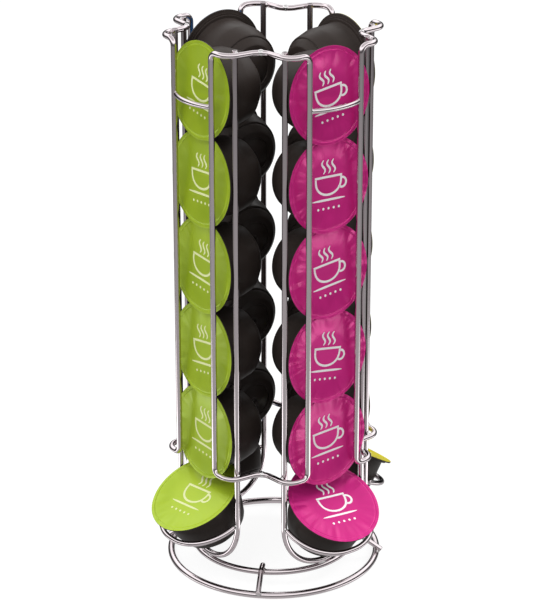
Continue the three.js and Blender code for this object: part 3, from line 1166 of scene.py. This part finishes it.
class CapsuleMaker:
    """Makes the cup and the lid of a capsule, in place in a column."""

    around = 112
    across = 2
    dish_rings = 18
    groove_rings = 6
    first_ring = 1.6
    print_rise = 0.03
    sharp_angle = 50 * DEGREE
    sunk_share = 0.3
    foil_edge_shares = ((0.5, 1.0), (0.0, 0.7), (0.5, 0.4))
    wall_shares = (0.25, 0.5, 0.75)
    above_heel_shares = (0.06, 0.5)
    heel_shares = ((0.25, 0), (0.5, 0), (0.69, 0), (0.72, 0.15), (0.76, 0.9), (0.8, 1), (0.84, 0.9),
                   (0.86, 0.15), (0.89, 0), (0.95, 0))

    def __init__(self, sizes: CapsuleSizes) -> None:
        """Keep the sizes and make the plastic that all capsules share.

        Args:
            sizes: Sizes of a capsule.
        """
        self.sizes = sizes
        self.plastic = MouldedCup().make()
        self.motif = CupMotif()

    @staticmethod
    def arc(centre: Point, radius: float, start: float, end: float) -> list[Point]:
        """Five points on an arc of a profile, with angles in degrees from outward to towards the lid."""
        angles = [(start + (end - start) * share) * DEGREE for share in even_shares(4)]
        return [(centre[0] + radius * math.cos(a), centre[1] + radius * math.sin(a)) for a in angles]

    @staticmethod
    def between(start: Point, end: Point, shares: tuple[float, ...]) -> list[Point]:
        """Points at shares of the way from one point of a profile to another."""
        return [(start[0] + (end[0] - start[0]) * share, start[1] + (end[1] - start[1]) * share)
                for share in shares]

    def end_profile(self) -> list[Point]:
        """Profile of the cup's end: a pit in a boss, a recess with a groove round it, and the corner.

        Returns:
            Pairs of radius and place along the axis.
        """
        s = self.sizes
        end, fine, soft = -s.height, s.fine_rounding, s.edge_rounding
        pit = [(0.0, end + s.pit_depth), (s.pit_radius - 3 * fine, end + s.pit_depth),
               (s.pit_radius - fine, end + s.pit_depth - fine), (s.pit_radius, end + fine)]
        boss = [(s.pit_radius + 2 * fine, end), (s.boss_radius, end),
                (s.boss_radius + soft, end + s.recess_depth)]
        groove = [(s.recess_radius, end + s.recess_depth), (s.recess_radius + soft, end + s.end_groove),
                  (s.recess_radius + 3 * soft, end + s.end_groove), (s.recess_radius + 4 * soft, end)]
        corner = [(s.end_radius - 4 * fine, end), (s.end_radius - 1.5 * fine, end + 0.3 * fine),
                  (s.end_radius + fine / 2, end + 1.3 * fine)]
        return pit + boss + groove + corner

    def heel_profile(self, corner: Point) -> list[Point]:
        """Profile from the corner of the end up the slope, with its groove, and over the heel to the wall.

        Args:
            corner: Last point of the end's profile.

        Returns:
            Pairs of radius and place along the axis.
        """
        s = self.sizes
        heel = (s.heel_radius, s.heel_rise - s.height)
        run = (heel[0] - corner[0], heel[1] - corner[1])
        inward = s.heel_groove / math.hypot(*run)
        slope = [(corner[0] + run[0] * along - run[1] * inward * deep,
                  corner[1] + run[1] * along + run[0] * inward * deep) for along, deep in self.heel_shares]
        rounded = (heel[0] - s.fine_rounding / 2, heel[1])
        dome = self.arc((s.dome_offset, -s.wall_depth), s.dome_radius, -s.dome_turn, 0)
        return [*slope, rounded, *self.between(heel, dome[0], self.above_heel_shares), *dome]

    def rim_profile(self) -> list[Point]:
        """Profile from the shoulder over the ridge and the flange to the well under the foil.

        Returns:
            Pairs of radius and place along the axis.
        """
        s = self.sizes
        fine, soft, under = s.fine_rounding, s.edge_rounding, s.foil_depth + s.seal_gap
        ridge = self.arc((s.ridge_radius - soft, soft - s.ridge_depth), soft, -90, 0)
        web = [(s.ridge_radius, -s.flange_depth - soft / 2), (s.ridge_radius + soft / 2, -s.flange_depth)]
        edge = self.arc((s.flange_radius - soft, soft - s.flange_depth), soft, -90, 0)
        rim = [(s.flange_radius, -under - fine / 2), (s.flange_radius - fine / 2, -under),
               (s.well_radius + fine / 2, -under), (s.well_radius - s.well_rounding, -s.well_depth),
               (0.0, -s.well_depth)]
        return [(s.shoulder_radius, -s.ridge_depth), *ridge, *web, *edge, *rim]

    def cup_profile(self) -> list[Point]:
        """Profile of the cup as radius and place along the axis, from its end to under the lid.

        Returns:
            Pairs of radius and place along the axis.
        """
        s = self.sizes
        end = self.end_profile()
        heel = self.heel_profile(end[-1])
        top = (s.shoulder_radius - 0.7 * s.shoulder_rounding, -s.ridge_depth - s.shoulder_rounding)
        return [*end, *heel, *self.between(heel[-1], top, self.wall_shares), top, *self.rim_profile()]

    def lathe(self, profile: list[Point]) -> bmesh.types.BMesh:
        """Turn a profile that starts and ends on the axis into a closed shell round the X axis.

        Args:
            profile: Pairs of radius and place along the axis.

        Returns:
            The shell, in millimetres.
        """
        shell = bmesh.new()
        angles = [2 * math.pi * i / self.around for i in range(self.around)]
        rings = []
        for radius, along in profile:
            if radius == 0:
                rings.append([shell.verts.new((along, 0, 0))])
                continue
            rings.append([shell.verts.new((along, radius * math.cos(a), radius * math.sin(a)))
                          for a in angles])
        for low, high in zip(rings, rings[1:]):
            for i in range(self.around):
                j = (i + 1) % self.around
                corners = [low[i % len(low)], low[j % len(low)], high[j % len(high)], high[i % len(high)]]
                shell.faces.new(list(dict.fromkeys(corners)))
        return shell

    def foil_height(self, across: float, up: float, number: int) -> float:
        """Height of the face of the foil above the plane of the lid.

        Args:
            across: Place on the lid, sideways from its middle.
            up: Place on the lid, upwards from its middle.
            number: Which lid this is, so that no two are dented alike.

        Returns:
            Height in millimetres, at most zero at the rim.
        """
        s = self.sizes
        radius = math.hypot(across, up)
        sunk = self.sunk_share * s.foil_depth
        if radius > s.well_radius:
            return -sunk
        inside = min(1.0, (s.well_radius - radius) / s.groove_width)
        groove = s.groove_depth * math.sin(math.pi * inside)
        dish = s.dish * (1 - (radius / s.well_radius) ** 2)
        spot = Vector((across / s.dent_size, up / s.dent_size, number * LID_STEP))
        return s.dent_height * inside * noise.noise(spot) - dish - groove - sunk

    def lid_shell(self, number: int) -> bmesh.types.BMesh:
        """The foil lid as a closed shell with its own coordinates, its face to +X.

        Args:
            number: Which lid this is.

        Returns:
            The shell, in millimetres.
        """
        s = self.sizes
        fine, inner, edge = s.fine_rounding, s.well_radius, s.flange_radius
        radii = [0.0, *np.linspace(self.first_ring, inner - s.groove_width - 2 * fine, self.dish_rings),
                 *np.linspace(inner - s.groove_width, inner, self.groove_rings),
                 inner + s.edge_rounding / 2, edge - s.well_rounding, edge - fine]
        floor, thin = s.seal_gap - s.well_depth, s.foil_depth
        profile = [(0.0, floor), (inner - s.well_rounding - fine, floor), (inner, -thin),
                   *((edge - out * thin, -down * thin) for out, down in self.foil_edge_shares)]
        profile += [(float(r), 0.0) for r in reversed(radii)]
        shell = self.lathe(profile)
        for vertex in shell.verts:
            if vertex.co.x == 0:
                vertex.co.x = self.foil_height(vertex.co.y, vertex.co.z, number)
        tile = shell.loops.layers.uv.new(LID_MAP)
        for face in shell.faces:
            for loop in face.loops:
                spot = loop.vert.co
                loop[tile].uv = (number + 0.5 + spot.y / LID_TILE, 0.5 + spot.z / LID_TILE)
        return shell

    def add_print(self, shell: bmesh.types.BMesh, number: int, turn: float) -> None:
        """Lay the pictogram on a lid as thin closed strokes of ink.

        Args:
            shell: Shell of the lid.
            number: Which lid this is.
            turn: Turn of the capsule in its channel, which the print shares.
        """
        spin = Matrix.Rotation(turn, 2)
        for ribbon in self.motif.ribbons():
            line = [Vector(p) for p in ribbon.points]
            rows = []
            for i, (point, half) in enumerate(zip(line, ribbon.half_widths)):
                ahead, behind = line[min(i + 1, len(line) - 1)], line[max(i - 1, 0)]
                along = (ahead - behind).normalized()
                side = Vector((-along.y, along.x))
                row = []
                for k in range(self.across + 1):
                    flat = spin @ (point + side * half * (2 * k / self.across - 1))
                    height = self.foil_height(flat.x, flat.y, number)
                    row.append([shell.verts.new((height + rise, flat.x, flat.y))
                                for rise in (self.print_rise, -self.print_rise)])
                rows.append(row)
            self.close_stroke(shell, rows)

    @staticmethod
    def close_stroke(shell: bmesh.types.BMesh, rows: list) -> None:
        """Close a stroke from its rows of paired top and bottom points.

        Args:
            shell: Shell of the lid.
            rows: Rows across the stroke, of pairs of a top and a bottom point.
        """
        faces = []
        last_row, last_point = len(rows) - 1, len(rows[0]) - 1
        for i in range(last_row):
            for k in range(last_point):
                a, b, c, d = rows[i][k], rows[i][k + 1], rows[i + 1][k + 1], rows[i + 1][k]
                faces += [(a[0], b[0], c[0], d[0]), (d[1], c[1], b[1], a[1])]
            a, d = rows[i][0], rows[i + 1][0]
            b, c = rows[i][last_point], rows[i + 1][last_point]
            faces += [(a[0], d[0], d[1], a[1]), (c[0], b[0], b[1], c[1])]
        for k in range(last_point):
            a, b = rows[0][k], rows[0][k + 1]
            c, d = rows[last_row][k + 1], rows[last_row][k]
            faces += [(b[0], a[0], a[1], b[1]), (d[0], c[0], c[1], d[1])]
        made = [shell.faces.new(corners) for corners in faces]
        for face in made:
            face.material_index = 1
        bmesh.ops.recalc_face_normals(shell, faces=made)

    def finish_shell(self, name: str, shell: bmesh.types.BMesh, place: Matrix,
                     finishes: list[bpy.types.Material]) -> bpy.types.Object:
        """Turn a shell into a piece in its place in the rack.

        Args:
            name: Name of the piece.
            shell: Closed shell in millimetres, with the middle of the lid at the origin and its face to +X.
            place: Where the capsule is, in millimetres.
            finishes: Materials by material index.

        Returns:
            The piece.
        """
        bmesh.ops.recalc_face_normals(shell, faces=shell.faces)
        shell.transform(Matrix.Scale(MM, 4) @ place)
        mesh = bpy.data.meshes.new(name)
        shell.to_mesh(mesh)
        shell.free()
        for finish in finishes:
            mesh.materials.append(finish)
        mesh.polygons.foreach_set("use_smooth", [True] * len(mesh.polygons))
        mesh.set_sharp_from_angle(angle=self.sharp_angle)
        return add_piece(name, mesh)

    def add_capsule(self, node: str, body: str, place: Matrix, finishes: list[bpy.types.Material],
                    foil_slot: str, number: int, turn: float) -> None:
        """Make one capsule and seat it on its body in place of its node.

        Args:
            node: Node of the frame that the capsule stands for.
            body: Body of the frame that it moves with.
            place: Where the capsule is, in millimetres.
            finishes: Foil and printing ink of its lid.
            foil_slot: Material slot of the lid.
            number: Which capsule this is.
            turn: Turn of the capsule about its own axis.
        """
        stem = node.replace("capsule_", "")
        cup = self.finish_shell(f"cup_{stem}", self.lathe(self.cup_profile()), place, [self.plastic])
        shell = self.lid_shell(number)
        self.add_print(shell, number, turn)
        lid = self.finish_shell(f"lid_{stem}", shell, place, finishes)
        seat_piece(cup, body, "capsule_cup", node)
        seat_piece(lid, body, foil_slot)


class CapsuleStack:
    """The capsules of all four columns, each where its node is in the frame."""

    sway = (8, -5, 3, -9, 6, -2)
    face_depth = 0.05

    def __init__(self, rack: RackSizes) -> None:
        """Keep the rack's sizes and choose a foil for each column.

        Args:
            rack: Sizes of the rack.
        """
        self.rack = rack
        self.maker = CapsuleMaker(rack.capsule)
        self.foils = {
            Column.FRONT_RIGHT: PrintedFoil("pink", "#E02C8E", "#D22886", "#FFFBFD", pucker_height=1.6),
            Column.FRONT_LEFT: PrintedFoil("green", "#B1C82C", "#9CB92A", "#E3E9AE", pucker_height=0.5),
            Column.BACK_RIGHT: PrintedFoil("yellow", "#FBEF2C", "#F2E222", "#FFFDF0", metallic=0.05),
            Column.BACK_LEFT: PrintedFoil("blue", "#3672A8", "#2C6294", "#FAFCFF"),
        }

    def place_of(self, node: str, column: Column, tilt: float) -> Matrix:
        """Place of a capsule: the middle of its lid is the middle of the foremost points of its node.

        Args:
            node: Node of the frame that the capsule stands for.
            column: Column that it is in.
            tilt: How far its lid leans back from upright.

        Returns:
            Transform in millimetres from the lid's own frame, its face to +X.
        """
        turned = turn_of(column) @ Matrix.Rotation(-tilt, 4, "Y")
        facing = (turned @ Vector((1, 0, 0))).normalized()
        points = np.array([v.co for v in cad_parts[node].data.vertices]) / MM
        ahead = points @ np.array(facing)
        lid = points[ahead > ahead.max() - self.face_depth].round(2)
        middle = (lid.min(0) + lid.max(0)) / 2
        return Matrix.Translation(Vector(middle)) @ turned

    def build(self) -> None:
        """Make every capsule of every column."""
        count = self.rack.stack_count + 1
        for offset, column in enumerate(Column):
            foil = self.foils[column]
            finishes = [foil.make(), PrintingInk(foil.name, foil.print_colour).make()]
            for number in range(1, count + 1):
                tilt = self.rack.outlet_tilt if number == 1 else self.rack.column_tilt
                stem = f"{name_of(column)}_{number}"
                node = f"capsule_{stem}"
                turn = self.sway[(number + offset) % len(self.sway)] * DEGREE
                place = self.place_of(node, column, tilt)
                self.maker.add_capsule(node, stem, place, finishes, f"foil_{foil.name}",
                                       offset * count + number, turn)


@dataclass(frozen=True)
class Camera:
    """The photograph's camera: pixels are of a picture 540 wide and 600 high, angles are in degrees."""

    elevation: float = 20.005
    azimuth: float = 8.033
    aim_height: float = 190.0
    distance: float = 1288.93
    focal_px: float = 2323.52
    centre_x_px: float = 273.74
    centre_y_px: float = 242.3
    picture_width_px: float = 540.0
    picture_height_px: float = 600.0
    sensor: float = 36.0

    def add(self) -> None:
        """Place the camera. Its shift keeps the uprights as the photograph's framing shows them."""
        elevation, azimuth = self.elevation * DEGREE, self.azimuth * DEGREE
        back = Vector((math.sin(azimuth) * math.cos(elevation), -math.cos(azimuth) * math.cos(elevation),
                       math.sin(elevation)))
        lens = bpy.data.cameras.new("camera")
        lens.sensor_width = self.sensor
        lens.lens = self.focal_px * self.sensor / self.picture_height_px
        lens.shift_x = (self.picture_width_px / 2 - self.centre_x_px) / self.picture_height_px
        lens.shift_y = (self.centre_y_px - self.picture_height_px / 2) / self.picture_height_px
        camera = add_object("camera", lens)
        camera.location = (Vector((0, 0, self.aim_height)) + back * self.distance) * MM
        camera.rotation_mode = "QUATERNION"
        camera.rotation_quaternion = (-back).to_track_quat("-Z", "Y")
        bpy.context.scene.camera = camera


@dataclass(frozen=True)
class Lamp:
    """A square soft lamp, with its place and its side in metres."""

    name: str
    place: tuple[float, float, float]
    side: float
    power: float
    aim: tuple[float, float, float] = (0.0, 0.0, 0.17)

    def add(self) -> None:
        """Hang the lamp. It lights the object and isn't mirrored in the wires."""
        light = bpy.data.lights.new(self.name, "AREA")
        light.size = self.side
        light.energy = self.power
        lamp = add_object(self.name, light)
        lamp.location = self.place
        lamp.rotation_mode = "QUATERNION"
        lamp.rotation_quaternion = (Vector(self.aim) - Vector(self.place)).to_track_quat("-Z", "Y")
        lamp.visible_glossy = False


@dataclass(frozen=True)
class Studio:
    """White sweep and soft lamps, with the grey and dark cards that draw the edges of chromed wire.

    The greys are pairs of a place and a brightness. Places and spans are coordinates of the direction of
    a ray: the greys run from 0 for -1 to 1 for 1, the spans are plain.
    """

    azimuth: float
    ambient: float = 0.72
    ceiling: float = 1.8
    side_panels: float = 9.5
    height_greys: tuple[Point, ...] = ((0.0, 0.34), (0.15, 0.34), (0.27, 0.3), (0.33, 0.27), (0.385, 0.18),
                                       (0.43, 0.07), (0.52, 0.06), (0.6, 0.2), (0.66, 0.7), (0.7, 1.0),
                                       (0.82, 1.0), (0.9, 0.4), (1.0, 0.5))
    round_greys: tuple[Point, ...] = ((0.0, 1.0), (0.25, 0.9), (0.4, 0.45), (0.6, 0.35), (0.8, 0.4),
                                      (0.9, 0.1), (1.0, 0.08))
    card_span: Point = (0.12, 0.5)
    panel_side: Point = (0.5, 0.3)
    panel_top: Point = (-0.37, -0.43)
    panel_foot: Point = (-0.56, -0.48)
    lamps: tuple[Lamp, ...] = (Lamp("key", (-0.35, -0.75, 1.35), 0.9, 9.0),
                               Lamp("side", (-1.1, -0.3, 0.5), 0.7, 2.5),
                               Lamp("back", (1.0, 0.7, 0.9), 0.7, 8.0))
    floor_reach: float = 9.0
    floor_colour: str = "#8E8E8E"
    floor_glow: float = 0.88
    floor_shade: float = 0.2

    def add(self) -> None:
        """Set up the world, the lamps and the floor."""
        bpy.context.scene.view_settings.view_transform = "Standard"
        self.add_world()
        for lamp in self.lamps:
            lamp.add()
        self.add_floor()

    def add_world(self) -> None:
        """White for the camera, an even light on the object, and a room with dark cards for reflections."""
        world = bpy.data.worlds.new("studio")
        bpy.context.scene.world = world
        world.use_nodes = True
        tree = world.node_tree
        tree.nodes.clear()
        room, strength = self.add_room(tree)
        seen = add_node(tree, "ShaderNodeBackground", {"Color": WHITE, "Strength": 1.0})
        even = add_node(tree, "ShaderNodeBackground", {"Color": WHITE, "Strength": self.ambient})
        mirrored = add_node(tree, "ShaderNodeBackground", {"Color": room, "Strength": strength})
        rays = add_node(tree, "ShaderNodeLightPath").outputs
        lit = add_node(tree, "ShaderNodeMixShader", {0: rays["Is Glossy Ray"], 1: even, 2: mirrored})
        shown = add_node(tree, "ShaderNodeMixShader", {0: rays["Is Camera Ray"], 1: lit, 2: seen})
        add_node(tree, "ShaderNodeOutputWorld", {"Surface": shown})

    def add_room(self, tree: bpy.types.NodeTree) -> tuple[bpy.types.NodeSocket, bpy.types.Node]:
        """Add nodes for the room that the object mirrors.

        Args:
            tree: Tree of the world.

        Returns:
            Socket with the grey of the room, and node with its brightness, higher at two side panels.
        """
        direction = add_node(tree, "ShaderNodeTexCoord").outputs["Generated"]
        turned = add_node(tree, "ShaderNodeMapping", {"Vector": direction,
                                                      "Rotation": (0, 0, -self.azimuth * DEGREE)})
        axes = add_node(tree, "ShaderNodeSeparateXYZ", {"Vector": turned}).outputs
        greys = []
        for axis, stops in ((axes["Z"], self.height_greys), (axes["Y"], self.round_greys)):
            share = add_node(tree, "ShaderNodeMapRange", {"Value": axis, "From Min": -1.0})
            greys.append(add_node(tree, "ShaderNodeValToRGB", {"Fac": share}))
            self.set_stops(greys[-1].color_ramp, stops)
        away = add_node(tree, "ShaderNodeMath", {0: axes["Z"]}, operation="ABSOLUTE")
        beside = add_node(tree, "ShaderNodeMath", {0: axes["Y"]}, operation="ABSOLUTE")
        low, narrow, below, above = (
            add_node(tree, "ShaderNodeMapRange", {"Value": value, "From Min": start, "From Max": end})
            for value, (start, end) in ((away, self.card_span), (beside, self.panel_side),
                                        (axes["Z"], self.panel_top), (axes["Z"], self.panel_foot)))
        cards = add_node(tree, "ShaderNodeMix", {"Factor": low, 6: greys[1], 7: WHITE}, data_type="RGBA")
        room = add_node(tree, "ShaderNodeMix", {"Factor": 1.0, 6: greys[0], 7: cards.outputs[2]},
                        data_type="RGBA", blend_type="MULTIPLY")
        band = add_node(tree, "ShaderNodeMath", {0: below, 1: above}, operation="MULTIPLY")
        panel = add_node(tree, "ShaderNodeMath", {0: band, 1: narrow}, operation="MULTIPLY")
        strength = add_node(tree, "ShaderNodeMath", {0: panel, 1: self.side_panels, 2: self.ceiling},
                            operation="MULTIPLY_ADD")
        return room.outputs[2], strength

    @staticmethod
    def set_stops(ramp: bpy.types.ColorRamp, stops: tuple[Point, ...]) -> None:
        """Give a ramp its grey stops, each a place and a brightness.

        Args:
            ramp: Ramp with the two stops that it starts with.
            stops: Pairs of a place and a brightness, in order.
        """
        for place, _ in stops[2:]:
            ramp.elements.new(place)
        for element, (place, grey) in zip(ramp.elements, stops):
            element.position = place
            element.color = (grey, grey, grey, 1)

    def add_floor(self) -> None:
        """A wide pale floor that is white to the camera and keeps the object's shadow."""
        mesh = bpy.data.meshes.new("floor")
        reach = self.floor_reach
        corners = [(-reach, -reach, 0), (reach, -reach, 0), (reach, reach, 0), (-reach, reach, 0)]
        mesh.from_pydata(corners, [], [(0, 1, 2, 3)])
        floor = add_object("floor", mesh)
        material = bpy.data.materials.new("white_laminate_sweep")
        material.use_nodes = True
        tree = material.node_tree
        tree.nodes.clear()
        paint = add_node(tree, "ShaderNodeBsdfDiffuse", {"Color": linear_colour(self.floor_colour)})
        shade = add_node(tree, "ShaderNodeBsdfDiffuse", {"Color": (self.floor_shade,) * 3 + (1,)})
        glow = add_node(tree, "ShaderNodeEmission", {"Color": WHITE, "Strength": self.floor_glow})
        bright = add_node(tree, "ShaderNodeAddShader", {0: shade, 1: glow})
        camera = add_node(tree, "ShaderNodeLightPath").outputs["Is Camera Ray"]
        surface = add_node(tree, "ShaderNodeMixShader", {0: camera, 1: paint, 2: bright})
        add_node(tree, "ShaderNodeOutputMaterial", {"Surface": surface})
        mesh.materials.append(material)
        floor.visible_glossy = False


def main() -> None:
    """Set the camera and the studio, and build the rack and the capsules."""
    logging.basicConfig(level=logging.INFO, format="%(name)s: %(message)s")
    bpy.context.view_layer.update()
    camera = Camera()
    camera.add()
    Studio(camera.azimuth).add()
    sizes = RackSizes()
    Rack(sizes).build()
    CapsuleStack(sizes).build()


if __name__ == "__main__":
    main()
